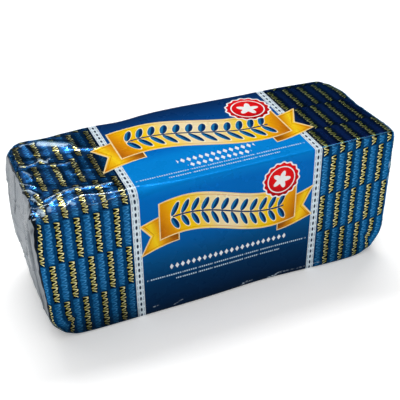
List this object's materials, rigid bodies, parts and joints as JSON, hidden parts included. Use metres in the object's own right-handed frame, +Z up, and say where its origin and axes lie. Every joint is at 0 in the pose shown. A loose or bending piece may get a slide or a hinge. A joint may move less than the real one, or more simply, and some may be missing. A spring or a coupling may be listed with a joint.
{
  "type": "blue cheese in foil",
  "caption": "Oblong block of blue cheese shut in printed foil, with folded ends and a slack, crumpled corner.",
  "frame": {"origin": "middle of the underside, on the surface the block lies on", "axes": "+X along the block, -Y towards the side with the large print, +Z up"},
  "size_m": [0.2528, 0.0916, 0.1015],
  "materials": {
    "printed_foil": "blue printed foil, satin to glossy"
  },
  "bodies": {
    "root": {"foil_wrapped_block": "printed_foil"}
  },
  "joints": []
}
